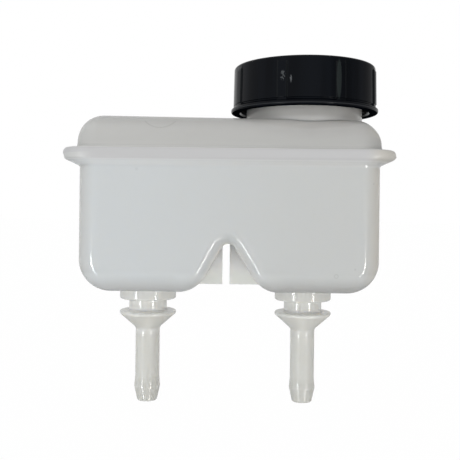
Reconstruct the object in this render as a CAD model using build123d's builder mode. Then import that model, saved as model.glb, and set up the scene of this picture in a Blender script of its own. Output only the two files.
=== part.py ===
from build123d import *
import os

# Twin-chamber brake fluid reservoir, in millimetres.
# X runs along the tank, -Y is the front, +Z is up, and z = 0 is the lower tip of the outlets.

# Lower tank
tank_width = 100.2
tank_depth = 50.0
tank_floor_z = 40.9
weld_z = 86.7
wall = 2.2
floor_corner_radius = 10.7
tank_edge_radius = 6.0

# Saddle notch between the two chambers
notch_left_mouth_x = -10.7
notch_right_mouth_x = 11.1
notch_peak_x = -0.7
notch_peak_z = 59.0
notch_mouth_radius = 11.5
notch_crown_radius = 2.4

# Webs in the notch on the middle plane, and the slot between them
web_thickness = 2.0
web_floor_z = 41.7
web_reach = 16.0
web_sink = 0.8
slot_x = -1.0
slot_width = 2.6

# Outlets: two collars with a groove between them, a cone, the hose tube and its barb
outlet_x = (-28.9, 26.7)
collar_radius = 10.05
collar_edge_radius = 0.5
groove_radius = 6.7
groove_top_z = 36.4
groove_floor_z = 32.2
collar_lip_z = 31.2
cone_tip_z = 26.1
cone_foot_radius = 1.2
tube_radius = 4.3
tube_end_z = 7.7
barb_radius = 4.6
barb_top_z = 5.6
barb_floor_z = 4.4
tip_radius = 3.6
tip_edge_radius = 0.4
outlet_bore_radius = 2.5

# Welded flange, wide at the two ends and narrow at the front and back
flange_width = 111.8
flange_depth = 54.0
flange_corner_radius = 10.5
flange_top_z = 88.6
flange_floor_z = 84.9
flange_root_z = 82.2
flange_lower_edge_radius = 1.4
flange_upper_edge_radius = 1.6

# Upper tank, whose roof falls slightly to the right
dome_left_x = -51.0
dome_right_x = 50.65
dome_depth = 50.6
roof_left_z = 99.55
roof_right_z = 98.7
roof_corner_radius = 9.0
dome_edge_radius = 8.0

# Filler neck
neck_x = 26.4
neck_radius = 20.6
neck_bore_radius = 18.0
neck_top_z = 114.9
neck_rim_radius = 0.6

# Screw cap
cap_floor_z = 102.5
cap_top_z = 119.25
cap_top_radius = 25.1
cap_skirt_radius = 25.35
cap_bead_radius = 26.2
cap_bead_z = 105.0
cap_bead_upper_edge_radius = 0.6
cap_bead_lower_edge_radius = 0.6
cap_bore_radius = 22.6
cap_mouth_chamfer = 0.5
cap_roof = 2.75
cap_top_edge_radius = 2.0

# Grip ribs round the cap
rib_count = 8
rib_first_angle = -112.5
rib_width = 3.3
rib_height = 0.45
rib_sink = 1.2
rib_edge_radius = 0.35
rib_top_gap = 1.5
rib_taper = 0.9

# Flat sealing ring in the cap
seal_outer_radius = 22.2
seal_bore_radius = 16.5
seal_edge_radius = 0.4


def tank_outline(top_z, inset):
    """Front outline of the twin-chamber body up to top_z, moved inwards all round by inset."""
    half = tank_width / 2
    with BuildSketch() as outline:
        with BuildLine():
            Polyline(
                (-half, top_z + inset),
                (-half, tank_floor_z),
                (notch_left_mouth_x, tank_floor_z),
                (notch_peak_x, notch_peak_z),
                (notch_right_mouth_x, tank_floor_z),
                (half, tank_floor_z),
                (half, top_z + inset),
                close=True,
            )
        make_face()
        peak = outline.vertices().filter_by(lambda v: abs(v.Y - notch_peak_z) < 0.01)
        fillet(peak.filter_by(lambda v: abs(v.X - notch_peak_x) < 0.01), radius=notch_crown_radius)
        floor = outline.vertices().filter_by(lambda v: v.Y < tank_floor_z + 0.01)
        fillet(floor.filter_by(lambda v: abs(v.X) < half - 1), radius=notch_mouth_radius)
        floor = outline.vertices().filter_by(lambda v: v.Y < tank_floor_z + 0.01)
        fillet(floor.filter_by(lambda v: abs(v.X) > half - 1), radius=floor_corner_radius)
        if inset:
            offset(amount=-inset)
    return outline.sketch


def dome_outline(floor_z, inset):
    """Front outline of the upper tank from floor_z to its falling roof, moved inwards by inset."""
    with BuildSketch() as outline:
        with BuildLine():
            Polyline(
                (dome_left_x, floor_z - inset),
                (dome_left_x, roof_left_z),
                (dome_right_x, roof_right_z),
                (dome_right_x, floor_z - inset),
                close=True,
            )
        make_face()
        fillet(outline.vertices().filter_by(lambda v: v.Y >= roof_right_z),
               radius=roof_corner_radius)
        if inset:
            offset(amount=-inset)
    return outline.sketch


# Space inside the lower tank
with BuildPart() as lower_cavity:
    with BuildSketch(Plane.XZ):
        add(tank_outline(weld_z + wall, wall))
    extrude(amount=tank_depth / 2 - wall, both=True)
    cavity_ends = lower_cavity.faces().filter_by(Axis.Y).edges()
    fillet(cavity_ends.filter_by(lambda e: e.center().Z < weld_z + wall - 0.1),
           radius=tank_edge_radius - wall)

# Gusset that widens the tank towards the flange at its two ends
with BuildPart() as flange_gusset:
    with BuildSketch(Plane.XY.offset(flange_root_z)):
        RectangleRounded(tank_width, tank_depth, tank_edge_radius)
    with BuildSketch(Plane.XY.offset(flange_floor_z)):
        RectangleRounded(flange_width - 2 * flange_lower_edge_radius, flange_depth,
                         flange_corner_radius)
    loft(ruled=True)
    with BuildSketch(Plane.XY.offset(flange_root_z)):
        Rectangle(flange_width, tank_depth)
    extrude(amount=flange_floor_z - flange_root_z, mode=Mode.INTERSECT)

# Lower half of the welded flange
with BuildPart() as lower_flange:
    with BuildSketch(Plane.XY.offset(flange_floor_z)):
        RectangleRounded(flange_width, flange_depth, flange_corner_radius)
    extrude(amount=weld_z - flange_floor_z)
    fillet(lower_flange.faces().sort_by(Axis.Z)[0].edges(), radius=flange_lower_edge_radius)

# Upper half of the welded flange
with BuildPart() as upper_flange:
    with BuildSketch(Plane.XY.offset(weld_z)):
        RectangleRounded(flange_width, flange_depth, flange_corner_radius)
    extrude(amount=flange_top_z - weld_z)
    fillet(upper_flange.faces().sort_by(Axis.Z)[-1].edges(), radius=flange_upper_edge_radius)

# Lower tank
with BuildPart() as lower_tank:
    with BuildSketch(Plane.XZ):
        add(tank_outline(weld_z, 0))
    extrude(amount=tank_depth / 2, both=True)
    tank_ends = lower_tank.faces().filter_by(Axis.Y).edges()
    fillet(tank_ends.filter_by(lambda e: e.center().Z < weld_z - 0.1), radius=tank_edge_radius)
    add(flange_gusset.part)
    add(lower_flange.part)
    # Collars, groove, cone, hose tube and barb of each outlet
    for axis_x in outlet_x:
        with BuildSketch(Plane.XZ.shift_origin((axis_x, 0, 0))) as outlet:
            with BuildLine():
                Polyline(
                    (0, tank_floor_z + wall / 2),
                    (collar_radius, tank_floor_z + wall / 2),
                    (collar_radius, groove_top_z),
                    (groove_radius, groove_top_z),
                    (groove_radius, groove_floor_z),
                    (collar_radius, groove_floor_z),
                    (collar_radius, collar_lip_z),
                    (tube_radius, cone_tip_z),
                    (tube_radius, tube_end_z),
                        (barb_radius, barb_top_z),
                    (barb_radius, barb_floor_z),
                    (tip_radius, 0),
                    (0, 0),
                    close=True,
                )
            make_face()
            lips = outlet.vertices().filter_by(lambda v: abs(v.X - collar_radius) < 0.01)
            fillet(lips.filter_by(lambda v: v.Y < tank_floor_z), radius=collar_edge_radius)
            foot = outlet.vertices().filter_by(lambda v: abs(v.Y - cone_tip_z) < 0.01)
            fillet(foot, radius=cone_foot_radius)
            tip = outlet.vertices().filter_by(lambda v: abs(v.X - tip_radius) < 0.01)
            fillet(tip, radius=tip_edge_radius)
        revolve(axis=Axis((axis_x, 0, 0), (0, 0, 1)))
    # Webs across the notch, with the slot between them
    with BuildSketch(Plane.XZ):
        with Locations((0, (web_floor_z + notch_peak_z) / 2)):
            Rectangle(2 * web_reach, notch_peak_z - web_floor_z)
        add(tank_outline(weld_z, web_sink), mode=Mode.SUBTRACT)
        with Locations((slot_x, (web_floor_z + notch_peak_z) / 2)):
            Rectangle(slot_width, notch_peak_z - web_floor_z, mode=Mode.SUBTRACT)
    extrude(amount=web_thickness / 2, both=True)
    # The two chambers and the outlet bores
    add(lower_cavity.part, mode=Mode.SUBTRACT)
    with BuildSketch(Plane.XY):
        with Locations(*[(axis_x, 0) for axis_x in outlet_x]):
            Circle(outlet_bore_radius)
    extrude(amount=tank_floor_z + 2 * wall, mode=Mode.SUBTRACT)

# Space inside the upper tank
with BuildPart() as upper_cavity:
    with BuildSketch(Plane.XZ):
        add(dome_outline(weld_z - wall, wall))
    extrude(amount=dome_depth / 2 - wall, both=True)
    cavity_ends = upper_cavity.faces().filter_by(Axis.Y).edges()
    fillet(cavity_ends.filter_by(lambda e: e.center().Z > weld_z - wall + 0.1),
           radius=dome_edge_radius - wall)

# Upper tank with the upper half of the flange and the filler neck
with BuildPart() as upper_tank:
    with BuildSketch(Plane.XZ):
        add(dome_outline(weld_z, 0))
    extrude(amount=dome_depth / 2, both=True)
    dome_ends = upper_tank.faces().filter_by(Axis.Y).edges()
    fillet(dome_ends.filter_by(lambda e: e.center().Z > weld_z + 0.1), radius=dome_edge_radius)
    add(upper_flange.part)
    with BuildSketch(Plane.XY.offset(weld_z)):
        with Locations((neck_x, 0)):
            Circle(neck_radius)
    extrude(amount=neck_top_z - weld_z)
    add(upper_cavity.part, mode=Mode.SUBTRACT)
    with BuildSketch(Plane.XY.offset(weld_z)):
        with Locations((neck_x, 0)):
            Circle(neck_bore_radius)
    extrude(amount=neck_top_z - weld_z, mode=Mode.SUBTRACT)
    fillet(upper_tank.faces().sort_by(Axis.Z)[-1].edges(), radius=neck_rim_radius)

# Screw cap with its grip ribs
with BuildPart() as filler_cap:
    with BuildSketch(Plane.XZ.shift_origin((neck_x, 0, 0))) as section:
        with BuildLine():
            Polyline(
                (0, cap_top_z),
                (cap_top_radius, cap_top_z),
                (cap_skirt_radius, cap_bead_z),
                (cap_bead_radius, cap_bead_z),
                (cap_bead_radius, cap_floor_z),
                (cap_bore_radius, cap_floor_z),
                (cap_bore_radius, cap_top_z - cap_roof),
                (0, cap_top_z - cap_roof),
                close=True,
            )
        make_face()
        bead = section.vertices().filter_by(lambda v: abs(v.X - cap_bead_radius) < 0.01)
        fillet(bead.sort_by(Axis.Y)[-1], radius=cap_bead_upper_edge_radius)
        bead = section.vertices().filter_by(lambda v: abs(v.X - cap_bead_radius) < 0.01)
        fillet(bead.sort_by(Axis.Y)[0], radius=cap_bead_lower_edge_radius)
        top = section.vertices().filter_by(lambda v: abs(v.Y - cap_top_z) < 0.01)
        fillet(top.sort_by(Axis.X)[-1], radius=cap_top_edge_radius)
        mouth = section.vertices().filter_by(lambda v: abs(v.Y - cap_floor_z) < 0.01)
        chamfer(mouth.sort_by(Axis.X)[0], length=cap_mouth_chamfer)
    revolve(axis=Axis((neck_x, 0, 0), (0, 0, 1)))
    with BuildSketch(Plane.XY.offset(cap_bead_z - cap_bead_upper_edge_radius)):
        with Locations((neck_x, 0)):
            with PolarLocations(cap_skirt_radius - rib_sink, rib_count, start_angle=rib_first_angle):
                RectangleRounded(2 * (rib_sink + rib_height), rib_width, rib_edge_radius)
    extrude(amount=cap_top_z - rib_top_gap - cap_bead_z + cap_bead_upper_edge_radius,
            taper=rib_taper)

# Flat sealing ring between the cap and the neck rim
with BuildPart() as cap_seal:
    with BuildSketch(Plane.XY.offset(neck_top_z)):
        with Locations((neck_x, 0)):
            Circle(seal_outer_radius)
            Circle(seal_bore_radius, mode=Mode.SUBTRACT)
    extrude(amount=cap_top_z - cap_roof - neck_top_z)
    fillet(cap_seal.edges(), radius=seal_edge_radius)

lower_tank.part.label = "lower_tank"
upper_tank.part.label = "upper_tank"
filler_cap.part.label = "filler_cap"
cap_seal.part.label = "cap_seal"

os.makedirs("parts", exist_ok=True)
export_step(lower_tank.part, "parts/lower_tank.step")
export_step(upper_tank.part, "parts/upper_tank.step")
export_step(filler_cap.part, "parts/filler_cap.step")
export_step(cap_seal.part, "parts/cap_seal.step")
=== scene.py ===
import math

import bmesh
import bpy
import numpy as np
from mathutils import Matrix


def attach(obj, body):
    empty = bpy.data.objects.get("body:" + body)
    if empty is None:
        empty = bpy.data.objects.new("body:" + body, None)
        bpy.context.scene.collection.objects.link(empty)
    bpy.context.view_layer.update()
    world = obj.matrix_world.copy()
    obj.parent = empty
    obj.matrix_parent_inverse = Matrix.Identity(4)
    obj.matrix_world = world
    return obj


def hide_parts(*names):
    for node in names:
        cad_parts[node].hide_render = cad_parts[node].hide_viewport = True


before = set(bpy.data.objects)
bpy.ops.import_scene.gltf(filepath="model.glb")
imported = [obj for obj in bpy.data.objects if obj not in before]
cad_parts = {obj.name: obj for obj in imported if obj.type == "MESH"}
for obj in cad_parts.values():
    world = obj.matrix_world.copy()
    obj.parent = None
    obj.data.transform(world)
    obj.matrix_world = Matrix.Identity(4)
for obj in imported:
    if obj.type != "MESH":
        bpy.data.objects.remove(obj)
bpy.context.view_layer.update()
mm = 0.001  # the sizes below are written in millimetres
joining = {
    "sameWithin": 0.002 * mm,  # points nearer to each other than this are one
    "noLength": 0.0001 * mm,
    "sharpFrom": 42.0,  # edges that turn by more degrees than this stay sharp
}
print("frame loaded:", sorted(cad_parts))


# Shared shape functions

def smoothStep(low, high, value):
    # 0 below low, 1 above high, and the cubic 3t^2 - 2t^3 between them
    t = np.clip((value - low) / (high - low), 0.0, 1.0)
    return t * t * (3.0 - 2.0 * t)


def roundedPath(corners, radii, arcSteps, longest, closed=False):
    # A polyline through the corners whose corners are replaced by arcs: each arc has its centre on the
    # corner's bisector and touches both runs; runs are divided so that no step is longer than longest
    corners = np.array(corners, float)
    count = len(corners)
    parts = []
    for i in range(count):
        corner = corners[i]
        if not closed and i in (0, count - 1):
            parts.append(corner[None, :])
            continue
        before = corners[i - 1] - corner
        after = corners[(i + 1) % count] - corner
        before /= np.linalg.norm(before)
        after /= np.linalg.norm(after)
        half = math.acos(np.clip(before @ after, -1.0, 1.0)) / 2.0
        bisector = before + after
        bisector /= np.linalg.norm(bisector)
        centre = corner + bisector * radii[i] / math.sin(half)
        start = corner + before * radii[i] / math.tan(half) - centre
        end = corner + after * radii[i] / math.tan(half) - centre
        turn = math.atan2(start[0] * end[1] - start[1] * end[0], start @ end)
        angles = np.linspace(0.0, turn, arcSteps + 1)
        cosines, sines = np.cos(angles)[:, None], np.sin(angles)[:, None]
        parts.append(centre + (start * cosines + np.array([-start[1], start[0]]) * sines))
    path = np.concatenate(parts)
    following = np.roll(path, -1, axis=0)
    pairs = len(path) if closed else len(path) - 1
    pieces = []
    for i in range(pairs):
        length = np.linalg.norm(following[i] - path[i])
        steps = max(1, int(math.ceil(length / longest)))
        share = np.arange(steps)[:, None] / steps
        pieces.append(path[i] + (following[i] - path[i]) * share)
    if not closed:
        pieces.append(path[-1][None, :])
    return np.concatenate(pieces)


def pathNormals(path, closed=False):
    # The left-hand normal of a plane path: the mean direction of the runs before and after each point,
    # turned by a quarter turn
    if closed:
        forward = np.roll(path, -1, axis=0) - path
        backward = path - np.roll(path, 1, axis=0)
    else:
        forward = np.diff(path, axis=0, append=path[-1:] * 2 - path[-2:-1])
        backward = np.diff(path, axis=0, prepend=path[:1] * 2 - path[1:2])
    forward = forward / np.linalg.norm(forward, axis=1)[:, None]
    backward = backward / np.linalg.norm(backward, axis=1)[:, None]
    along = forward + backward
    along = along / np.linalg.norm(along, axis=1)[:, None]
    return np.stack([-along[:, 1], along[:, 0]], axis=1)


def gridFaces(points, closed=False, flip=False):
    # The quads of a grid of points numbered row by row; a closed grid joins its last column to its first
    rows, columns = points.shape[:2]
    here = np.arange(rows - 1)[:, None] * columns
    c = np.arange(columns if closed else columns - 1)[None, :]
    right = (c + 1) % columns
    above = here + columns
    quads = np.stack([here + c, here + right, above + right, above + c], axis=-1).reshape(-1, 4)
    return quads[:, ::-1] if flip else quads


def endFaces(points, first=0):
    # The two faces that close a tube of points at its first and last rows
    rows, columns = points.shape[:2]
    return [list(range(start, start + columns)) for start in (first, first + (rows - 1) * columns)]


def makePiece(name, patches, body, material, polygons=()):
    # One object from several patches, each an array of points in millimetres with its quads, whose
    # meeting points are welded; polygons are further faces over the same points
    vertices = np.concatenate([points.reshape(-1, 3) for points, quads in patches]) * mm
    faces = []
    first = 0
    for points, quads in patches:
        faces += (quads + first).tolist()
        first += points.reshape(-1, 3).shape[0]
    mesh = bpy.data.meshes.new(name)
    mesh.from_pydata(vertices.tolist(), [], faces + list(polygons))
    work = bmesh.new()
    work.from_mesh(mesh)
    bmesh.ops.remove_doubles(work, verts=work.verts, dist=joining["sameWithin"])
    bmesh.ops.dissolve_degenerate(work, edges=work.edges, dist=joining["noLength"])
    bmesh.ops.recalc_face_normals(work, faces=work.faces)
    for face in work.faces:
        face.smooth = True
    for edge in work.edges:
        edge.smooth = not edge.is_manifold or edge.calc_face_angle() < math.radians(joining["sharpFrom"])
    work.to_mesh(mesh)
    work.free()
    piece = bpy.data.objects.new(name, mesh)
    bpy.context.scene.collection.objects.link(piece)
    weighted = piece.modifiers.new("flatFirst", "WEIGHTED_NORMAL")
    weighted.mode = "FACE_AREA"
    weighted.keep_sharp = True
    mesh.materials.append(material)
    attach(piece, body)
    print("piece:", name, len(mesh.vertices), "points")
    return piece


def ringTemplate(alongX, alongY, cornerSteps):
    # The unit form of a rounded rectangle, anticlockwise from the front right corner: a place on the
    # inner rectangle from -1 to 1 each way, and the outward direction there
    quarter = np.linspace(0.0, math.pi / 2.0, cornerSteps + 1)
    corners = np.array([(1.0, -1.0), (1.0, 1.0), (-1.0, 1.0), (-1.0, -1.0)])
    places, directions = [], []
    for number, steps in enumerate((alongY, alongX, alongY, alongX)):
        corner, following = corners[number], corners[(number + 1) % 4]
        angles = quarter - math.pi / 2.0 + number * math.pi / 2.0
        places.append(np.tile(corner, (cornerSteps + 1, 1)))
        directions.append(np.stack([np.cos(angles), np.sin(angles)], axis=1))
        share = (np.arange(1, steps) / steps)[:, None]
        places.append(corner + (following - corner) * share)
        directions.append(np.tile([math.cos(angles[-1]), math.sin(angles[-1])], (steps - 1, 1)))
    return np.concatenate(places), np.concatenate(directions)


def ringStack(template, halfX, halfY, radius, centreX, z, slope):
    # Rounded rectangles stacked into a surface: point = place * (half size - radius) + direction * radius,
    # lifted to its row's height, which falls along X by that row's slope
    places, directions = template
    halfX, halfY, radius, z, slope = [row[:, None] for row in (halfX, halfY, radius, z, slope)]
    x = places[None, :, 0] * (halfX - radius) + directions[None, :, 0] * radius + centreX
    y = places[None, :, 1] * (halfY - radius) + directions[None, :, 1] * radius
    return np.stack([x, y, np.broadcast_to(z, x.shape) + slope * x], axis=-1)


def turnedSurface(profile, angles, centreX, relief=None):
    # A profile of radius and height carried round the vertical axis at centreX; relief(angle, radius,
    # height) is added to the radius
    radius, height = profile[:, 0][:, None], profile[:, 1][:, None]
    angle = angles[None, :]
    if relief is not None:
        radius = radius + relief(angle, radius, height)
    x = centreX + radius * np.cos(angle)
    y = radius * np.sin(angle)
    return np.stack([x, y, np.broadcast_to(height, x.shape)], axis=-1)


# Sizes of the neck and the cap, which the materials use too

neck = {
    "x": 26.4,
    "radius": 20.6,
    "bore": 18.0,
    "floorZ": 95.4,
    "topZ": 114.9,
    "rim": 0.6,
    "foot": 0.3,  # rounding of the end that is sunk into the roof
    "arcSteps": 6,
    "longest": 0.28,  # no step of the profile is longer
    "hole": 19.3,  # roof cells nearer to the axis than this are left out
    "holeAbove": 92.0,
    "around": 240,
}
cap = {
    "floorZ": 102.95,
    "beadZ": 105.0,
    "beadSlope": 0.8,  # fall of the bead's upper side to its rim
    "topZ": 119.25,
    "topRadius": 25.1,
    "skirt": 25.35,
    "bead": 26.2,
    "bore": 22.6,
    "roof": 2.75,
    "ribs": 8,
    "firstRib": -112.5,
    "ribWidth": 3.3,
    "ribHeight": 0.45,
    "ribSide": 0.32,  # width of a rib's eased side
    "ribTopZ": 117.4,
    "groove": 0.3,  # fine groove over the bead
    "grooveZ": 105.5,
    "mouth": 0.6,
    "pole": 0.4,  # radius of the small faces that close the top and the ceiling
    "radii": (0.0, 1.0, 0.1, 0.1, 0.15, 0.6, 0.6, 0.1, 0.15, 0.5, 0.0),  # along the profile
    "arcSteps": 7,
    "longest": 0.7,
}


# Materials

def feed(tree, socket, value):
    # The value is a number, a colour of three numbers or another node's output
    if isinstance(value, bpy.types.NodeSocket):
        tree.links.new(value, socket)
    else:
        socket.default_value = (*value, 1.0) if isinstance(value, tuple) else value


def mathNode(tree, operation, *values):
    node = tree.nodes.new("ShaderNodeMath")
    node.operation = operation
    for socket, value in zip(node.inputs, values):
        feed(tree, socket, value)
    return node.outputs["Value"]


def times(tree, *factors):
    # The product of several masks and numbers
    product = factors[0]
    for factor in factors[1:]:
        product = mathNode(tree, "MULTIPLY", product, factor)
    return product


def squareSum(tree, first, second):
    return mathNode(tree, "ADD", times(tree, first, first), times(tree, second, second))


def apart(tree, first, second):
    return mathNode(tree, "ABSOLUTE", mathNode(tree, "SUBTRACT", first, second))


def fromPoint(tree, places, point):
    # The way from a point on the front, to the right and up
    return [mathNode(tree, "SUBTRACT", places[axis.upper()], point[axis] * mm) for axis in "xz"]


def mapRange(tree, value, fromRange, toRange=(0.0, 1.0)):
    # An eased step over fromRange from the first value of toRange to the second
    node = tree.nodes.new("ShaderNodeMapRange")
    node.interpolation_type = "SMOOTHSTEP"
    for name, limit in zip(("From Min", "From Max", "To Min", "To Max"), (*fromRange, *toRange)):
        node.inputs[name].default_value = limit
    tree.links.new(value, node.inputs["Value"])
    return node.outputs["Result"]


def mixColours(tree, factor, first, second):
    mix = tree.nodes.new("ShaderNodeMix")
    mix.data_type = "RGBA"
    tree.links.new(factor, mix.inputs["Factor"])
    feed(tree, mix.inputs[6], first)
    feed(tree, mix.inputs[7], second)
    return mix.outputs[2]


def noise(tree, scale, detail, vector):
    node = tree.nodes.new("ShaderNodeTexNoise")
    for name, value in (("Scale", scale), ("Detail", detail), ("Roughness", 0.55)):
        node.inputs[name].default_value = value
    tree.links.new(vector, node.inputs["Vector"])
    return node.outputs["Fac"]


def bump(tree, height, distance, strength=1.0, normal=None):
    node = tree.nodes.new("ShaderNodeBump")
    node.inputs["Distance"].default_value = distance
    feed(tree, node.inputs["Strength"], strength)
    tree.links.new(height, node.inputs["Height"])
    if normal is not None:
        tree.links.new(normal, node.inputs["Normal"])
    return node.outputs["Normal"]


def newMaterial(name):
    # A material with a bare shader, and the places that masks are made from: the object's X, Y and Z, the
    # distances from its two upright middle planes, and X and the distance from the neck's axis
    material = bpy.data.materials.new(name)
    material.use_nodes = True
    tree = material.node_tree
    tree.nodes.clear()
    output = tree.nodes.new("ShaderNodeOutputMaterial")
    shader = tree.nodes.new("ShaderNodeBsdfPrincipled")
    tree.links.new(shader.outputs["BSDF"], output.inputs["Surface"])
    vector = tree.nodes.new("ShaderNodeTexCoord").outputs["Object"]
    split = tree.nodes.new("ShaderNodeSeparateXYZ")
    tree.links.new(vector, split.inputs["Vector"])
    places = {"vector": vector}
    places.update((axis, split.outputs[axis]) for axis in "XYZ")
    places["besideMiddle"] = mathNode(tree, "ABSOLUTE", places["X"])
    places["fromMiddle"] = mathNode(tree, "ABSOLUTE", places["Y"])
    places["axisX"] = mathNode(tree, "SUBTRACT", places["X"], neck["x"] * mm)
    places["fromAxis"] = mathNode(tree, "SQRT", squareSum(tree, places["axisX"], places["Y"]))
    return material, tree, shader, places


def maskOf(tree, places, where):
    # The product of eased steps along places: 0 at a step's first limit, in millimetres, and 1 at its
    # second, so that limits close together make a sharp edge
    steps = [mapRange(tree, places[place], (start * mm, end * mm)) for place, start, end in where]
    return times(tree, *steps)


weldBand = (("Z", 83.6, 84.8), ("Z", 88.9, 88.4))
overOutlets = ("Z", 40.2, 41.4)
milky = {
    "across": ("X", -45.0, 40.0),  # pairs of tones blend along this, the left one painted paler as the light falls there
    "regions": (
        # painted shade: the flange band a shade greyer, the shade on its underside seen from below
        {"where": weldBand, "tone": (0.605, 0.605, 0.61)},
        {"where": (("X", 43.0, 50.0),), "tone": (0.66, 0.64, 0.59)},  # right end, painted warmer as the light falls on it
    ),
    "markColour": (0.3, 0.3, 0.28),
    "marksBefore": -18.0 * mm,  # marks are on the front only
    "gloss": 0.85,  # specular level, 0.5 for a plain plastic
    "ior": 1.49,
    "roughness": (0.07, 0.11),  # between the duller patches and on them
    "bandMatt": 0.36,  # roughness of the welded flange
    "outletRoughness": 0.13,
    "clouds": 34.0,  # duller patches for each metre
    "cloudShare": (0.3, 0.7),
    "waves": 60.0,  # shallow moulding waves for each metre
    "waveHeight": 0.045 * mm,
    "peel": 900.0,  # fine moulding skin for each metre
    "peelHeight": 0.002 * mm,
    "calmBelow": (41.0 * mm, 44.0 * mm),  # the outlets have hardly any waves and a softer gloss
    "calm": 0.04,  # share of the waves that is left there
    "lightDepth": 1.6 * mm,  # how far light spreads in the plastic
    "lightColour": (1.0, 0.97, 0.92),
    "noSpread": (("Z", 83.6, 84.8), ("Z", 95.4, 90.4)),  # thick zone where it doesn't spread
}

# The first tone of a pair is the one on the left, and dull is the share of the gloss that is lost
lowerLook = {
    "tones": ((0.705, 0.732, 0.742), (0.66, 0.672, 0.665)),
    "regions": (
        # outlets, painted lighter as the light that comes through their thin plastic; on them the cones,
        # painted lighter against the shade on their downward faces, the groove floors, painted lighter
        # against the shade under the collars, and the hose tubes and the tips, which get less of that
        # painted light
        {"where": (("Z", 41.4, 40.2),), "tones": ((0.8, 0.8, 0.775), (0.765, 0.765, 0.735))},
        {"where": (("Z", 25.4, 26.6), ("Z", 32.4, 31.4)), "tone": (0.82, 0.815, 0.775)},
        {"where": (("Z", 32.0, 32.4), ("Z", 34.4, 33.0)), "tone": (0.97, 0.965, 0.93), "dull": 1.0},
        {"where": (("Z", 25.5, 22.5),), "tone": (0.735, 0.735, 0.7)},
        {"where": (("Z", 9.4, 6.4),), "tone": (0.69, 0.69, 0.655)},
        # painted shade darkening the tank's bottom, and its left end painted greyer and warmer as the light
        # falls on that side
        {"where": (("Z", 47.0, 41.5), overOutlets), "tones": ((0.62, 0.63, 0.63), (0.53, 0.53, 0.52))},
        {"where": (("X", -43.0, -50.0),), "tone": (0.655, 0.66, 0.65)},
        # notch walls painted lighter against their shade, webs painted lighter as the light that comes
        # through them, more towards the top, and painted light on the flange's underside against the shade
        # under it
        {"where": (("fromMiddle", 24.6, 21.0), ("besideMiddle", 13.0, 8.0), ("Z", 60.01, 59.99)),
         "tone": (0.89, 0.885, 0.85)},
        {"where": (("fromMiddle", 1.06, 1.04), ("besideMiddle", 11.01, 10.99), ("Z", 60.01, 59.99)),
         "tones": ((0.81, 0.82, 0.79), (1.0, 1.0, 1.0)), "along": ("Z", 42.0, 52.0)},
        {"where": (("Z", 82.2, 83.2), ("Z", 85.3, 83.9)),
         "tones": ((0.785, 0.803, 0.808), (0.71, 0.715, 0.705))},
        # hose tubes and the tank's lowest edges lose gloss only
        {"where": (("Z", 6.2, 7.6), ("Z", 24.2, 22.5)), "dull": 0.75},
        {"where": (("Z", 48.8, 46.4), overOutlets), "dull": 0.9},
    ),
    "marks": (
        {"x": -30.3, "z": 81.4, "radius": 0.25, "width": 0.45, "strength": 0.12},
        {"x": 34.9, "z": 47.2, "radius": 0.6, "width": 0.3, "strength": 0.2},
        {"x": 41.0, "z": 49.5, "radius": 0.1, "width": 0.4, "strength": 0.2},
        {"x": 47.0, "z": 77.4, "radius": 0.1, "width": 0.4, "strength": 0.2},
    ),
    "marksBelow": 90.0 * mm,
}
upperLook = {
    "tones": ((0.635, 0.635, 0.62), (0.576, 0.571, 0.557)),
    "regions": (
        # painted shade on the dome's wall above the flange, and painted light on the seam between it and
        # the flange, against the shade in that crease
        {"where": (("Z", 88.4, 88.9), ("Z", 95.4, 90.4)),
         "tones": ((0.55, 0.55, 0.535), (0.5, 0.5, 0.485))},
        {"where": (("Z", 88.2, 88.5), ("Z", 89.25, 88.75)),
         "tones": ((0.72, 0.72, 0.705), (0.63, 0.63, 0.615))},
        # painted light on the roof round the neck's root, against the cap's shade there, and the neck in
        # the cap's shade
        {"where": (("fromAxis", 29.0, 22.6), ("fromAxis", 20.74, 20.76), ("Z", 94.0, 97.4)),
         "tone": (0.8, 0.79, 0.765)},
        {"where": (("Z", 99.2, 100.4),), "tone": (0.485, 0.48, 0.465), "dull": 0.5},
    ),
    "marks": ({"x": -23.0, "z": 101.6, "radius": 6.6, "width": 0.35, "strength": 0.22},),
    "marksBelow": 97.3 * mm,
}


def addRegions(tree, places, colour, regions):
    # Lay each region's tone over the colour so far and gather the largest loss of gloss
    lost = 0.0
    for region in regions:
        mask = maskOf(tree, places, region["where"])
        tone = region.get("tone")
        if "tones" in region:
            along = region.get("along", milky["across"])
            tone = mixColours(tree, maskOf(tree, places, (along,)), *region["tones"])
        if tone is not None:
            colour = mixColours(tree, mask, colour, tone)
        if "dull" in region:
            lost = mathNode(tree, "MAXIMUM", times(tree, mask, region["dull"]), lost)
    return colour, lost


def addMarks(tree, places, colour, look):
    # Faint rings that the mould leaves: dark where the distance from the mark's middle is near its radius
    front = mathNode(tree, "LESS_THAN", places["Y"], milky["marksBefore"])
    under = mathNode(tree, "LESS_THAN", places["Z"], look["marksBelow"])
    for mark in look["marks"]:
        distance = mathNode(tree, "SQRT", squareSum(tree, *fromPoint(tree, places, mark)))
        off = apart(tree, distance, mark["radius"] * mm)
        ring = mapRange(tree, off, (0.0, mark["width"] * mm), (mark["strength"], 0.0))
        colour = mixColours(tree, times(tree, ring, front, under), colour, milky["markColour"])
    return colour


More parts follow.
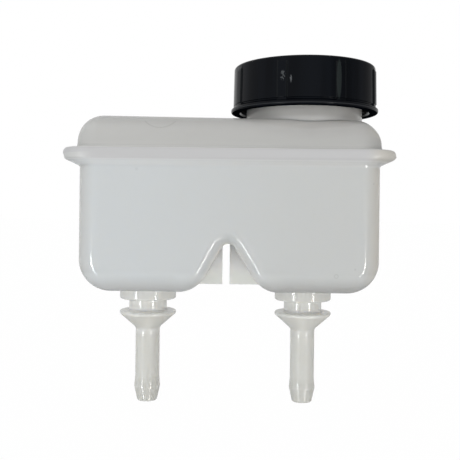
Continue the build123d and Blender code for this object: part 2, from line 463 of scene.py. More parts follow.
def milkyPlastic(name, look):
    # Natural polypropylene: milky, painted a little paler towards the left as the light falls there, glossy
    # with duller patches, shallow waves and a fine skin; the welded flange is rougher than the walls and
    # painted a shade greyer, the shade on its underside
    material, tree, shader, places = newMaterial(name)
    colour = mixColours(tree, maskOf(tree, places, (milky["across"],)), *look["tones"])
    colour, lost = addRegions(tree, places, colour, milky["regions"] + look["regions"])
    feed(tree, shader.inputs["Base Color"], addMarks(tree, places, colour, look))
    clouds = noise(tree, milky["clouds"], 3.0, places["vector"])
    dull = mapRange(tree, clouds, milky["cloudShare"], milky["roughness"])
    soft = mapRange(tree, places["Z"], milky["calmBelow"], (milky["outletRoughness"], 0.0))
    matt = times(tree, maskOf(tree, places, weldBand), milky["bandMatt"])
    rough = mathNode(tree, "MAXIMUM", matt, mathNode(tree, "MAXIMUM", soft, dull))
    feed(tree, shader.inputs["Roughness"], rough)
    feed(tree, shader.inputs["Specular IOR Level"], mapRange(tree, lost, (0.0, 1.0), (milky["gloss"], 0.0)))
    calm = mapRange(tree, places["Z"], milky["calmBelow"], (milky["calm"], 1.0))
    waves = noise(tree, milky["waves"], 1.0, places["vector"])
    wide = bump(tree, waves, milky["waveHeight"], calm)
    peel = noise(tree, milky["peel"], 2.0, places["vector"])
    feed(tree, shader.inputs["Normal"], bump(tree, peel, milky["peelHeight"], calm, wide))
    feed(tree, shader.inputs["IOR"], milky["ior"])
    thick = maskOf(tree, places, milky["noSpread"])
    feed(tree, shader.inputs["Subsurface Weight"], mapRange(tree, thick, (0.0, 1.0), (1.0, 0.0)))
    shader.inputs["Subsurface Radius"].default_value = milky["lightColour"]
    shader.inputs["Subsurface Scale"].default_value = milky["lightDepth"]
    return material


black = {
    "tones": ((0.002, 0.0028, 0.0045), (0.0035, 0.0048, 0.0075)),
    "streaks": (190.0, 190.0, 14.0),  # for each metre, drawn out along the axis
    "streakShare": (0.35, 0.7),
    "roughness": (0.1, 0.2),
    "specular": 0.1,
    "ior": 1.5,
    "mattBelow": 103.05 * mm,  # the rim's underside is matt
    "matt": 0.8,
    "peel": 700.0,
    "peelHeight": 0.02 * mm,
    "ribSheenColour": (0.013, 0.015, 0.016),  # painted sheen along the ribs' edges, paler than the black
    "ribSheenWidth": (0.12 * mm, 0.5 * mm),
    "ribSheenShare": 0.55,
    # a painted highlight line round the bead
    "rimLine": (0.036, 0.038, 0.042),
    "rimLineAt": 103.6 * mm,
    "rimLineHalf": (0.05 * mm, 0.3 * mm),
    "rimLineShare": 0.7,
    "grain": 1500.0,
    "ovalFrom": 0.55,
    "spots": (  # painted highlights on the skirt's front, the tall one a painted reflection down a rib's side
        {"x": 35.3, "z": 111.6, "halfX": 0.9, "halfZ": 7.2, "colour": (0.022, 0.028, 0.028),
         "share": 0.9, "broken": (0.0, 0.1)},
        {"x": 16.9, "z": 112.5, "halfX": 1.0, "halfZ": 1.9, "colour": (0.13, 0.14, 0.145),
         "share": 0.5, "broken": (0.46, 0.6)},
        {"x": 19.5, "z": 111.4, "halfX": 0.35, "halfZ": 1.4, "colour": (0.2, 0.21, 0.22),
         "share": 0.5, "broken": (0.38, 0.6)},
    ),
}


def ribEdgeSheen(tree, places, colour):
    # Painted sheen: paler where the way round the skirt from the nearest rib's middle is near half the
    # rib's width
    step = 2.0 * math.pi / cap["ribs"]
    angle = mathNode(tree, "ARCTAN2", places["Y"], places["axisX"])
    turned = mathNode(tree, "SUBTRACT", angle, math.radians(cap["firstRib"]))
    near = mathNode(tree, "ABSOLUTE", mathNode(tree, "PINGPONG", turned, step / 2.0))
    way = times(tree, near, cap["skirt"] * mm)
    off = apart(tree, way, cap["ribWidth"] / 2.0 * mm)
    edge = mapRange(tree, off, black["ribSheenWidth"], (black["ribSheenShare"], 0.0))
    skirt = mathNode(tree, "GREATER_THAN", places["Z"], cap["grooveZ"] * mm)
    underTop = mathNode(tree, "LESS_THAN", places["Z"], cap["ribTopZ"] * mm)
    return mixColours(tree, times(tree, edge, skirt, underTop), colour, black["ribSheenColour"])


def rimLine(tree, places, colour):
    # A thin painted highlight line round the bead
    off = apart(tree, places["Z"], black["rimLineAt"])
    mask = mapRange(tree, off, black["rimLineHalf"], (black["rimLineShare"], 0.0))
    return mixColours(tree, mask, colour, black["rimLine"])


def paintedGlints(tree, places, colour):
    # Painted highlights: paler spots, full inside an upright oval, fading out to its edge, and broken up by
    # a fine grain
    grain = noise(tree, black["grain"], 3.0, places["vector"])
    front = mathNode(tree, "LESS_THAN", places["Y"], 0.0)
    for spot in black["spots"]:
        ways, halves = fromPoint(tree, places, spot), (spot["halfX"] * mm, spot["halfZ"] * mm)
        square = squareSum(tree, *[mathNode(tree, "DIVIDE", *pair) for pair in zip(ways, halves)])
        oval = mapRange(tree, square, (black["ovalFrom"], 1.0), (spot["share"], 0.0))
        broken = mapRange(tree, grain, spot["broken"])
        colour = mixColours(tree, times(tree, oval, broken, front), colour, spot["colour"])
    return colour


def capPlastic():
    # Black moulded plastic: glossy, with faint upright drawing streaks and a fine skin, and painted sheen
    # and highlights on the ribs' edges, round the bead and on the skirt's front
    material, tree, shader, places = newMaterial("capBlack")
    stretched = tree.nodes.new("ShaderNodeMapping")
    stretched.inputs["Scale"].default_value = black["streaks"]
    tree.links.new(places["vector"], stretched.inputs["Vector"])
    streaks = noise(tree, 1.0, 3.0, stretched.outputs["Vector"])
    colour = mixColours(tree, mapRange(tree, streaks, black["streakShare"]), *black["tones"])
    for addition in (ribEdgeSheen, rimLine, paintedGlints):
        colour = addition(tree, places, colour)
    feed(tree, shader.inputs["Base Color"], colour)
    sheen = mapRange(tree, streaks, black["streakShare"], black["roughness"])
    under = mathNode(tree, "LESS_THAN", places["Z"], black["mattBelow"])
    matt = times(tree, under, black["matt"])
    feed(tree, shader.inputs["Roughness"], mathNode(tree, "MAXIMUM", matt, sheen))
    specular = mapRange(tree, under, (0.0, 1.0), (black["specular"], 0.0))
    feed(tree, shader.inputs["Specular IOR Level"], specular)
    peel = noise(tree, black["peel"], 3.0, places["vector"])
    feed(tree, shader.inputs["Normal"], bump(tree, peel, black["peelHeight"]))
    feed(tree, shader.inputs["IOR"], black["ior"])
    return material


rubber = {
    "tones": ((0.018, 0.018, 0.018), (0.035, 0.034, 0.033)),
    "grain": 1400.0,
    "grainShare": (0.3, 0.7),
    "grainHeight": 0.03 * mm,
    "roughness": 0.62,
}


def sealRubber():
    # Black rubber: dull, with a fine grain
    material, tree, shader, places = newMaterial("sealBlack")
    grain = noise(tree, rubber["grain"], 3.0, places["vector"])
    colour = mixColours(tree, mapRange(tree, grain, rubber["grainShare"]), *rubber["tones"])
    feed(tree, shader.inputs["Base Color"], colour)
    feed(tree, shader.inputs["Normal"], bump(tree, grain, rubber["grainHeight"]))
    feed(tree, shader.inputs["Roughness"], rubber["roughness"])
    return material


lowerPlastic = milkyPlastic("lowerMilky", lowerLook)
upperPlastic = milkyPlastic("upperMilky", upperLook)
blackPlastic = capPlastic()
blackRubber = sealRubber()
print("materials made")


# Lower tank

tank = {
    "width": 100.2,
    "depth": 50.0,
    "floorZ": 40.9,
    "rootZ": 80.6,  # top of the plain walls
    "weldZ": 86.7,
    "wall": 2.2,
    "floorCorner": 10.7,
    "edge": 7.4,  # rounding of the corners and of the floor's edges
    "notchEdge": 4.6,  # tighter rounding along the notch
    "notchPeak": (-0.4, 59.6),
    "notchMouths": (-10.7, 11.1),
    "mouthRadius": 11.5,
    "crownRadius": 2.5,
    "notchReach": (11.0, 21.0),  # from the notch's middle to where the tighter rounding has ended
    "longest": 0.8,
    "arcSteps": 16,
    "edgeSteps": 14,
    "alongX": 70,
    "alongY": 24,
}
tankRing = ringTemplate(tank["alongX"], tank["alongY"], tank["edgeSteps"])


def tankOutline():
    # Front outline of the lower tank from the top of its left side round to the top of its right side
    half = tank["width"] / 2.0
    corners = [(-half, tank["rootZ"]), (-half, tank["floorZ"]), (tank["notchMouths"][0], tank["floorZ"]),
               tank["notchPeak"], (tank["notchMouths"][1], tank["floorZ"]), (half, tank["floorZ"]),
               (half, tank["rootZ"])]
    radii = [0.0, tank["floorCorner"], tank["mouthRadius"], tank["crownRadius"], tank["mouthRadius"],
             tank["floorCorner"], 0.0]
    return roundedPath(corners, radii, tank["arcSteps"], tank["longest"])


def barrelPatch(inset, flip):
    # The outline carried from front to back: the outline moved inwards by edge * (1 - sin a) while the
    # depth goes from the front face by edge * (1 - cos a), then straight back, and the same in mirror
    outline = tankOutline()
    inwards = pathNormals(outline)
    nearNotch = 1.0 - smoothStep(*tank["notchReach"], np.abs(outline[:, 0] - tank["notchPeak"][0]))
    edge = (tank["edge"] + (tank["notchEdge"] - tank["edge"]) * nearNotch - inset)[None, :]
    quarter = np.linspace(0.0, math.pi / 2.0, tank["edgeSteps"] + 1)[:, None]
    halfDepth = tank["depth"] / 2.0 - inset
    inFront = edge * (1.0 - np.sin(quarter)) + inset
    depthFront = -halfDepth + edge * (1.0 - np.cos(quarter))
    share = (np.arange(1, tank["alongY"]) / tank["alongY"])[:, None]
    depthSide = (-halfDepth + edge) * (1.0 - 2.0 * share)
    inSide = np.broadcast_to(np.full_like(edge, inset), depthSide.shape)
    moved = np.concatenate([inFront, inSide, inFront[::-1]])
    depth = np.concatenate([depthFront, depthSide, -depthFront[::-1]])
    x = outline[None, :, 0] + inwards[None, :, 0] * moved
    z = outline[None, :, 1] + inwards[None, :, 1] * moved
    points = np.stack([x, depth, z], axis=-1)
    return points, gridFaces(points, flip=flip)


def tankPatches():
    # The outside and the inside as a barrel each, closed flat at the front and back, and the flange; a
    # flat face's border is the barrel's end row and a line of points back along the top edge
    patches, polygons = [], []
    first = 0
    for inset, flip in ((0.0, False), (tank["wall"], True)):
        points, quads = barrelPatch(inset, flip)
        rows, columns = points.shape[:2]
        patches.append((points, quads))
        count = rows * columns
        half = tank["width"] / 2.0 - tank["edge"]
        share = np.arange(tank["alongX"] - 1, 0, -1) / tank["alongX"]
        top = np.stack([-half + 2.0 * half * share, np.full(len(share), -tank["depth"] / 2.0 + inset),
                        np.full(len(share), tank["rootZ"])], axis=1)
        for row, side in ((0, 1.0), (rows - 1, -1.0)):
            patches.append((top * np.array([1.0, side, 1.0]), np.zeros((0, 4), int)))
            endRow, topEdge = first + row * columns, first + count
            polygons.append([*range(endRow, endRow + columns), *range(topEdge, topEdge + len(top))])
            count += len(top)
        first += count
    patches.append(lowerFlange())
    return patches, polygons


flange = {
    "halfX": 55.9,
    "halfY": 26.4,
    "corner": 10.5,
    "rootZ": 82.9,  # where the underside leaves the wall
    "floorZ": 85.5,
    "underRise": 0.008,  # rise of the underside for each millimetre to the right
    "topZ": 88.6,
    "lowerEdge": 1.8,
    "upperEdge": 1.5,
    "upperEdgeInY": 0.3,  # share of it at the front and back, where the rim stands straight
    "rootFillet": 1.0,
    "arcSteps": 10,
    "longest": 0.5,
    "innerRows": 4,
}


def lowerFlange():
    # From the outer wall up and out along the flange, in over the weld plane and down the inner wall;
    # reach goes from 0 at the wall to 1 at the flange's rim, so that it widens more at the two ends
    halfX, halfY = tank["width"] / 2.0, tank["depth"] / 2.0
    proud = flange["halfX"] - halfX
    corners = [(0.0, tank["rootZ"]), (0.0, flange["rootZ"]),
               (proud, flange["floorZ"]), (proud, tank["weldZ"])]
    radii = (0.0, flange["rootFillet"], flange["lowerEdge"], 0.0)
    outer = roundedPath(corners, radii, flange["arcSteps"], flange["longest"])
    reach, z = outer[:, 0] / proud, outer[:, 1]
    rowX = halfX + (flange["halfX"] - halfX) * reach
    rowY = halfY + (flange["halfY"] - halfY) * reach
    corner = tank["edge"] + (flange["corner"] - tank["edge"]) * reach
    rows = flange["innerRows"]
    rowX = np.concatenate([rowX, np.full(rows, halfX - tank["wall"])])
    rowY = np.concatenate([rowY, np.full(rows, halfY - tank["wall"])])
    corner = np.concatenate([corner, np.full(rows, tank["edge"] - tank["wall"])])
    z = np.concatenate([z, np.linspace(tank["weldZ"], tank["rootZ"], rows)])
    slope = np.zeros(len(z))
    underside = smoothStep(tank["rootZ"], flange["rootZ"] - 0.6, outer[:, 1])
    underside = underside * (1.0 - smoothStep(flange["floorZ"], tank["weldZ"] - 0.1, outer[:, 1]))
    slope[:len(outer)] = flange["underRise"] * underside
    points = ringStack(tankRing, rowX, rowY, corner, 0.0, z, slope)
    return points, gridFaces(points, closed=True)


# Outlets under the tank

outlet = {
    "axes": (-28.9, 26.7),
    "collar": 10.05,
    "groove": 6.7,
    "grooveTopZ": 36.4,
    "grooveFloorZ": 32.2,
    "lipZ": 31.2,
    "coneTipZ": 26.1,
    "tube": 4.3,
    "tubeEndZ": 8.6,
    "barb": 4.6,
    "barbZ": 5.0,
    "tip": 3.5,
    "bore": 2.5,
    "boreTopZ": 40.0,
    "sunk": 1.1,  # how far the collar reaches into the tank's floor
    "radii": (0.0, 0.7, 0.5, 0.7, 0.45, 0.6, 1.8, 5.0, 2.2, 0.45, 0.25, 0.0),  # along the profile
    "arcSteps": 7,
    "longest": 1.0,
    "around": 96,
}


def outletProfile():
    # Radius and height from inside the tank's floor down the outside to the tip and up the bore
    o = outlet
    corners = [(o["collar"] - 0.1, tank["floorZ"] + o["sunk"]), (o["collar"], o["grooveTopZ"]),
               (o["groove"], o["grooveTopZ"] + 0.1), (o["groove"], o["grooveFloorZ"]),
               (o["collar"], o["grooveFloorZ"]), (o["collar"], o["lipZ"]), (o["tube"], o["coneTipZ"]),
               (o["tube"], o["tubeEndZ"]), (o["barb"], o["barbZ"]), (o["tip"], 0.0), (o["bore"], 0.0),
               (o["bore"], o["boreTopZ"])]
    return roundedPath(corners, o["radii"], o["arcSteps"], o["longest"])


def outletPatch(axisX):
    angles = np.linspace(0.0, 2.0 * math.pi, outlet["around"], endpoint=False)
    points = turnedSurface(outletProfile(), angles, axisX)
    return points, gridFaces(points, closed=True)


# Webs in the notch

web = {
    "thickness": 2.0,
    "floorZ": 41.7,
    "sink": 0.8,  # how far it is sunk into the notch's wall
    "slot": (-2.3, 0.3),
    "reach": 16.0,
    "edge": 0.3,
}


def webPatch(side):
    # The outline of the notch's wall, sunk into it, closed by the slot's edge and the web's lower edge,
    # and carried through the web's thickness with its edges rounded
    outline = tankOutline()
    inwards = pathNormals(outline)
    sunk = outline + inwards * web["sink"]
    slotX = web["slot"][0] if side < 0 else web["slot"][1]
    beside = (sunk[:, 0] * side > slotX * side) & (np.abs(sunk[:, 0]) < web["reach"])
    wall = sunk[beside & (sunk[:, 1] > web["floorZ"])]
    if side > 0:
        wall = wall[::-1]
    lowest, highest = wall[0], wall[-1]
    rest = [[slotX, highest[1]], [slotX, web["floorZ"]], [lowest[0], web["floorZ"]]]
    border = np.concatenate([wall, rest])
    normals = pathNormals(border, closed=True) * (-side)
    quarter = np.linspace(0.0, math.pi / 2.0, 4)[:, None]
    inPlane = web["edge"] * (1.0 - np.sin(quarter))
    front = -web["thickness"] / 2.0 + web["edge"] * (1.0 - np.cos(quarter))
    moved = np.concatenate([inPlane, inPlane[::-1]])
    depth = np.concatenate([front, -front[::-1]])
    x = border[None, :, 0] - normals[None, :, 0] * moved
    z = border[None, :, 1] - normals[None, :, 1] * moved
    points = np.stack([x, np.broadcast_to(depth, x.shape), z], axis=-1)
    return points, gridFaces(points, closed=True)


def buildLowerTank():
    patches, polygons = tankPatches()
    first = sum(points.reshape(-1, 3).shape[0] for points, quads in patches)
    further = [webPatch(side) for side in (-1, 1)] + [outletPatch(axisX) for axisX in outlet["axes"]]
    for points, quads in further:
        patches.append((points, quads))
        polygons += endFaces(points, first)
        first += points.shape[0] * points.shape[1]
    piece = makePiece("lowerTankShell", patches, "tank", lowerPlastic, polygons)
    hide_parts("lower_tank")


buildLowerTank()


# Upper tank

dome = {
    "leftX": -51.0,
    "rightX": 50.65,
    "depth": 50.6,
    "roofLeftZ": 99.55,
    "roofRightZ": 98.7,
    "roofCorner": 9.0,  # rounding seen from the front
    "edge": 8.0,  # rounding of the front and back edges
    "wall": 2.2,
    "foot": 1.0,  # hollow fillet at the flange, taller than it is deep
    "footHeight": 1.6,
    "footInY": 0.5,  # share of it at the front and back, where the flange is narrow
    "slopeFrom": 1.0,  # how far over the flange the roof's fall begins
    "ridge": 0.02,  # corner radius where the roof meets its middle line
    "roofRows": 17,
    "alongX": 84,
    "alongY": 30,
    "edgeSteps": 14,
}
thread = {
    "lead": 4.0,
    "rootWidth": 2.1,
    "crestWidth": 0.8,
    "neckCrest": 22.0,
    "neckZ": 106.7,
    "neckTurns": 1.5,
    "capCrest": 21.2,
    "capZ": 105.25,
    "capTurns": 1.9,
    "runOut": 0.06,  # share of a turn over which a thread's end fades
}


def threadRidge(angle, height, startZ, turns):
    # 1 on the crest and 0 off the ridge: the ridge is a trapezoid with eased flanks about the height
    # startZ + lead * turns walked, and fades at both ends
    share = np.mod(angle, 2.0 * math.pi) / (2.0 * math.pi)
    ridge = np.zeros(np.broadcast(angle, height).shape)
    for lap in range(int(math.ceil(turns)) + 1):
        walked = share + lap
        middle = startZ + thread["lead"] * walked
        off = np.abs(height - middle)
        across = 1.0 - smoothStep(thread["crestWidth"] / 2.0, thread["rootWidth"] / 2.0, off)
        begun = smoothStep(0.0, thread["runOut"], walked)
        ended = smoothStep(turns - thread["runOut"], turns, walked)
        ridge = np.maximum(ridge, across * (begun * (1.0 - ended)))
    return ridge


def domeRows(inset):
    # Half sizes, corner radius and height from the flange's level up the wall, round the edge by a quarter
    # turn and in over the roof to its middle line
    quarter = np.linspace(0.0, math.pi / 2.0, dome["edgeSteps"] + 1)
    halfX = (dome["rightX"] - dome["leftX"]) / 2.0 - inset
    halfY = dome["depth"] / 2.0 - inset
    edgeX, edgeY = dome["roofCorner"] - inset, dome["edge"] - inset
    roof = (dome["roofLeftZ"] + dome["roofRightZ"]) / 2.0 - inset
    rise = roof - edgeX + edgeX * np.sin(quarter)
    inX = edgeX * (1.0 - np.cos(quarter))
    inY = edgeY * (1.0 - np.cos(quarter))
    corner = np.maximum(edgeY * np.cos(quarter), dome["ridge"])
    steps = np.linspace(0.0, 1.0, dome["roofRows"] + 1)[1:]
    lastY = halfY - inY[-1]
    inX = np.concatenate([inX, inX[-1] + lastY * steps])
    inY = np.concatenate([inY, inY[-1] + lastY * steps])
    corner = np.concatenate([corner, dome["ridge"] * (1.0 - steps)])
    rise = np.concatenate([rise, np.full(len(steps), roof)])
    return halfX - inX, halfY - inY, corner, rise


def upperTankPatch():
    # One sheet: from the roof's underside out and down the inner wall, out over the weld plane, up round
    # the flange's rim, in to the wall and up over the roof; the slope of the roof fades down the wall
    centreX = (dome["leftX"] + dome["rightX"]) / 2.0
    fall = (dome["roofRightZ"] - dome["roofLeftZ"]) / (dome["rightX"] - dome["leftX"])
    halfX, halfY, corner, rise = domeRows(0.0)
    inX, inY, inCorner, inRise = domeRows(dome["wall"])
    top = flange["topZ"]
    edgeR = flange["upperEdge"]
    quarter = np.linspace(0.0, math.pi / 2.0, 9)
    rimZ = np.concatenate([[tank["weldZ"]], top - edgeR + edgeR * np.sin(quarter)])
    rimIn = np.concatenate([[0.0], edgeR * (1.0 - np.cos(quarter))])
    rimX, rimY = flange["halfX"] - rimIn, flange["halfY"] - flange["upperEdgeInY"] * rimIn
    rimCorner = flange["corner"] - rimIn
    footZ = top + dome["footHeight"] * (1.0 - np.cos(quarter[::2]))
    footOut = dome["foot"] * (1.0 - np.sin(quarter[::2]))
    rowsX = np.concatenate([inX[::-1], [inX[0]], rimX, halfX[0] + footOut, halfX])
    rowsY = np.concatenate([inY[::-1], [inY[0]], rimY, halfY[0] + dome["footInY"] * footOut, halfY])
    rowsCorner = np.concatenate([inCorner[::-1], [inCorner[0]], rimCorner, dome["edge"] + footOut, corner])
    rowsZ = np.concatenate([inRise[::-1], [tank["weldZ"]], rimZ, footZ, rise])
    level = smoothStep(top + dome["slopeFrom"], dome["roofRightZ"] - dome["wall"], rowsZ)
    template = ringTemplate(dome["alongX"], dome["alongY"], dome["edgeSteps"])
    points = ringStack(template, rowsX, rowsY, rowsCorner, centreX, rowsZ, fall * level)
    quads = gridFaces(points, closed=True)
    middle = points.reshape(-1, 3)[quads].mean(axis=1)
    away = np.hypot(middle[:, 0] - neck["x"], middle[:, 1])
    kept = (away > neck["hole"]) | (middle[:, 2] < neck["holeAbove"])
    return points, quads[kept]


def neckPatch():
    # Rim, bore and outside of the filler neck, with the thread's ridge added to the outside's radius
    n = neck
    corners = [(n["radius"], n["floorZ"]), (n["radius"], n["topZ"]),
               (n["bore"], n["topZ"]), (n["bore"], n["floorZ"])]
    radii = (n["foot"], n["rim"], n["rim"], n["foot"])
    profile = roundedPath(corners, radii, n["arcSteps"], n["longest"], closed=True)
    profile = np.concatenate([profile, profile[:1]])
    angles = np.linspace(0.0, 2.0 * math.pi, n["around"], endpoint=False)
    ridgeHeight = thread["neckCrest"] - n["radius"]

    def outside(angle, radius, height):
        onOutside = smoothStep(n["radius"] - 0.2, n["radius"] - 0.1, radius)
        return onOutside * ridgeHeight * threadRidge(angle, height, thread["neckZ"], thread["neckTurns"])

    points = turnedSurface(profile, angles, n["x"], outside)
    return points, gridFaces(points, closed=True)


def buildUpperTank():
    patches = [upperTankPatch(), neckPatch()]
    piece = makePiece("upperTankShell", patches, "tank", upperPlastic)
    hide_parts("upper_tank")


buildUpperTank()


# Screw cap

def capAngles():
    # Angles round the cap, close together at the sides of each rib and even between the ribs
    halfRib = cap["ribWidth"] / 2.0
    reach = 0.6 * cap["ribSide"]
    side = np.linspace(halfRib - reach, halfRib + reach, 9)
    onRib = np.linspace(0.0, side[0], 4)[:-1]
    pitch = 2.0 * math.pi * cap["skirt"] / cap["ribs"]
    between = np.linspace(side[-1], pitch / 2.0, 9)[1:]
    halfSpan = np.concatenate([onRib, side, between])
    span = np.concatenate([-halfSpan[::-1][1:-1], halfSpan]) / cap["skirt"]
    starts = math.radians(cap["firstRib"]) + 2.0 * math.pi * np.arange(cap["ribs"]) / cap["ribs"]
    return (starts[:, None] + span[None, :]).ravel()


def capRelief(angle, radius, height):
    # Ribs stand out of the skirt and the thread's ridge into the bore; each has eased edges, and each
    # mask that keeps it on its surface fades over the small lengths given
    c = cap
    step = 2.0 * math.pi / c["ribs"]
    first = math.radians(c["firstRib"])
    fromRib = np.abs(np.mod(angle - first + step / 2.0, step) - step / 2.0) * c["skirt"]
    halfRib, halfSide = c["ribWidth"] / 2.0, c["ribSide"] / 2.0
    across = 1.0 - smoothStep(halfRib - halfSide, halfRib + halfSide, fromRib)
    overBead = smoothStep(c["beadZ"] - 0.3, c["beadZ"], height)
    underTop = 1.0 - smoothStep(c["ribTopZ"] - 0.5, c["ribTopZ"] + 0.5, height)
    outside = smoothStep(c["topRadius"] - 1.0, c["topRadius"] - 0.5, radius)
    ribs = c["ribHeight"] * across * (overBead * underTop) * outside
    onBore = 1.0 - smoothStep(c["bore"] + 0.05, c["bore"] + 0.15, radius)
    onBore = onBore * smoothStep(c["bore"] - 0.15, c["bore"] - 0.05, radius)
    ridge = threadRidge(angle, height, thread["capZ"], thread["capTurns"])
    return ribs - onBore * ((c["bore"] - thread["capCrest"]) * ridge)


def buildCap():
    # The profile runs from the top's middle down the skirt, round the bead and up the bore to the ceiling
    c = cap
    ceiling = c["topZ"] - c["roof"]
    grooved = c["skirt"] - c["groove"]
    corners = [(c["pole"], c["topZ"]), (c["topRadius"], c["topZ"]), (c["skirt"], c["grooveZ"]),
               (grooved, c["grooveZ"] - 0.2), (grooved, c["beadZ"]),
               (c["bead"], c["beadZ"] - c["beadSlope"]), (c["bead"], c["floorZ"]),
               (c["bore"] + c["mouth"], c["floorZ"]), (c["bore"], c["floorZ"] + c["mouth"]),
               (c["bore"], ceiling), (c["pole"], ceiling)]
    profile = roundedPath(corners, c["radii"], c["arcSteps"], c["longest"])
    points = turnedSurface(profile, capAngles(), neck["x"], capRelief)
    patches = [(points, gridFaces(points, closed=True))]
    piece = makePiece("screwCap", patches, "cap", blackPlastic, endFaces(points))
    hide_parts("filler_cap")


buildCap()


# The sealing ring keeps its CAD form

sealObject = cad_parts["cap_seal"]
sealObject.data.materials.clear()
sealObject.data.materials.append(blackRubber)
print("seal painted")


# Floor, sky and camera

studio = {
    "floorColour": (0.95, 0.95, 0.95),
    "floorGlow": 0.99,  # share of plain white that the camera sees on the floor
    "floorSide": 4.0,  # half of it, in metres
    "room": 0.7,  # light of the white room at the level of the object
    "roomBelow": 0.14,  # and straight below, as a share of that
    "white": (1.0, 1.0, 1.0),
    "strips": (  # two tall soft boxes, seen in degrees round the object
        {"azimuth": -43.0, "halfWidth": (1.9, 3.3), "radiance": 16.0, "colour": (0.95, 0.98, 1.0)},
        {"azimuth": 37.0, "halfWidth": (1.9, 3.3), "radiance": 16.0, "colour": (1.0, 0.98, 0.95)},
    ),
    "stripLow": (-58.0, -22.0),  # elevations over which the soft boxes fade in at their lower end
    "stripHigh": (-5.4, -3.8),  # and out again
    "lean": (-60.0, -26.0),  # elevations over which they lean towards the middle
    "leanTo": 0.66,  # share of the azimuth that is left at the low end
    "sheen": 0.03,  # what is left of them above that
    "sheenHigh": (3.0, 7.0),
    "edgeGlow": 0.06,  # and more of them at the flange's own level
    "edgeGlowLow": (-2.0, -0.5),
    "edgeGlowHigh": (0.3, 0.9),
    "dimRight": (0.0, 0.9),  # over which part of the way to the right the room gets dimmer
    "dimRightTo": 0.92,
    "dimHigh": (0.06, 0.2),  # over which part of the way up its right side gets dimmer still
    "dimHighTo": 0.5,
}


def cameraRayMix(tree, plain, seen, output):
    # Plain for light that falls on the object, and seen where the camera looks past the object
    path = tree.nodes.new("ShaderNodeLightPath")
    mix = tree.nodes.new("ShaderNodeMixShader")
    for value, socket in ((path.outputs["Is Camera Ray"], mix.inputs["Fac"]), (plain, mix.inputs[1]),
                          (seen, mix.inputs[2]), (mix.outputs["Shader"], output.inputs["Surface"])):
        tree.links.new(value, socket)


def lightNode(tree, kind, colour, strength):
    node = tree.nodes.new(kind)
    feed(tree, node.inputs["Color"], colour)
    feed(tree, node.inputs["Strength"], strength)
    return node.outputs[0]


def buildFloor():
    side = studio["floorSide"]
    corners = [(-side, -side, 0.0), (side, -side, 0.0), (side, side, 0.0), (-side, side, 0.0)]
    mesh = bpy.data.meshes.new("studioFloor")
    mesh.from_pydata(corners, [], [(0, 1, 2, 3)])
    floor = bpy.data.objects.new("studioFloor", mesh)
    bpy.context.scene.collection.objects.link(floor)
    material = bpy.data.materials.new("studioFloor")
    material.use_nodes = True
    tree = material.node_tree
    tree.nodes.clear()
    output = tree.nodes.new("ShaderNodeOutputMaterial")
    plain = tree.nodes.new("ShaderNodeBsdfDiffuse")
    feed(tree, plain.inputs["Color"], studio["floorColour"])
    blend = tree.nodes.new("ShaderNodeMixShader")
    blend.inputs["Fac"].default_value = studio["floorGlow"]
    tree.links.new(plain.outputs["BSDF"], blend.inputs[1])
    tree.links.new(lightNode(tree, "ShaderNodeEmission", studio["white"], 1.0), blend.inputs[2])
    cameraRayMix(tree, plain.outputs["BSDF"], blend.outputs["Shader"], output)
    mesh.materials.append(material)
    floor.visible_shadow = False  # part of the light comes from below the floor
    floor.visible_diffuse = False
    floor.visible_glossy = False


def roomLight(tree, x, z):
    # Dimmer from the object's level down, dimmer towards the right, and dimmer still high on the right
    below = mapRange(tree, z, (-1.0, 0.0), (studio["roomBelow"], 1.0))
    right = mapRange(tree, x, studio["dimRight"], (1.0, studio["dimRightTo"]))
    highRight = times(tree, mapRange(tree, z, studio["dimHigh"]), mapRange(tree, x, studio["dimRight"]))
    dimHigh = mapRange(tree, highRight, (0.0, 1.0), (1.0, studio["dimHighTo"]))
    return times(tree, below, right, dimHigh, studio["room"])


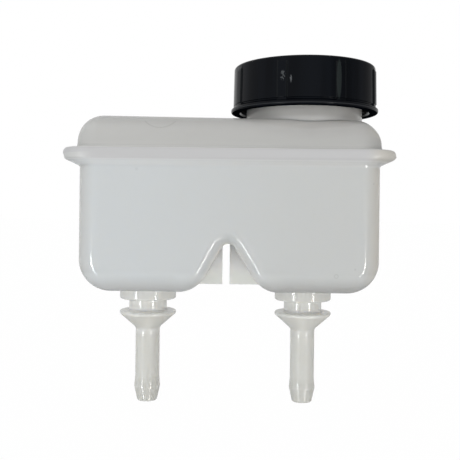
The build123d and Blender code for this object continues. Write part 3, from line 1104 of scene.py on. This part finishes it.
def buildSky():
    world = bpy.data.worlds.new("studioSky")
    world.use_nodes = True
    tree = world.node_tree
    tree.nodes.clear()
    output = tree.nodes.new("ShaderNodeOutputWorld")
    direction = tree.nodes.new("ShaderNodeTexCoord")
    split = tree.nodes.new("ShaderNodeSeparateXYZ")
    tree.links.new(direction.outputs["Generated"], split.inputs["Vector"])
    x, y, z = split.outputs
    azimuth = mathNode(tree, "ARCTAN2", x, times(tree, y, -1.0))
    elevation = mathNode(tree, "ARCSINE", z)

    def overElevation(name, toRange=(0.0, 1.0)):
        return mapRange(tree, elevation, np.radians(studio[name]), toRange)

    bright = overElevation("stripHigh", (1.0, studio["sheen"]))
    glow = times(tree, overElevation("edgeGlowLow", (0.0, studio["edgeGlow"])),
                 overElevation("edgeGlowHigh", (1.0, 0.0)))
    bright = mathNode(tree, "ADD", bright, glow)
    upright = times(tree, overElevation("stripLow"), bright, overElevation("sheenHigh", (1.0, 0.0)))
    lean = overElevation("lean", (studio["leanTo"], 1.0))
    light = lightNode(tree, "ShaderNodeBackground", studio["white"], roomLight(tree, x, z))
    for strip in studio["strips"]:
        away = apart(tree, azimuth, times(tree, lean, math.radians(strip["azimuth"])))
        across = mapRange(tree, away, np.radians(strip["halfWidth"]), (strip["radiance"], 0.0))
        both = tree.nodes.new("ShaderNodeAddShader")
        tree.links.new(light, both.inputs[0])
        strength = times(tree, across, upright)
        tree.links.new(lightNode(tree, "ShaderNodeBackground", strip["colour"], strength), both.inputs[1])
        light = both.outputs["Shader"]
    cameraRayMix(tree, light, lightNode(tree, "ShaderNodeBackground", studio["white"], 1.0), output)
    bpy.context.scene.world = world


camera = {
    "height": 68.7 * mm,
    "away": 252.0 * mm,
    "imagePixels": 460,
    "focalPixels": 700.0,
    "axisPixel": (229.45, 209.0),  # where the camera's axis meets the photograph
    "roll": 0.65,
}


def buildCamera():
    pixels = camera["imagePixels"]
    data = bpy.data.cameras.new("photoCamera")
    data.sensor_width = 36.0
    data.lens = data.sensor_width * camera["focalPixels"] / pixels
    data.shift_x = (pixels / 2.0 - camera["axisPixel"][0]) / pixels
    data.shift_y = (camera["axisPixel"][1] - pixels / 2.0) / pixels
    cameraObject = bpy.data.objects.new("photoCamera", data)
    level = Matrix.Rotation(math.pi / 2.0, 4, "X")
    roll = Matrix.Rotation(math.radians(camera["roll"]), 4, "Z")
    cameraObject.matrix_world = Matrix.Translation((0.0, -camera["away"], camera["height"])) @ level @ roll
    bpy.context.scene.collection.objects.link(cameraObject)
    bpy.context.scene.camera = cameraObject


buildFloor()
buildSky()
buildCamera()
bpy.context.scene.view_settings.view_transform = "Standard"
print("studio made")
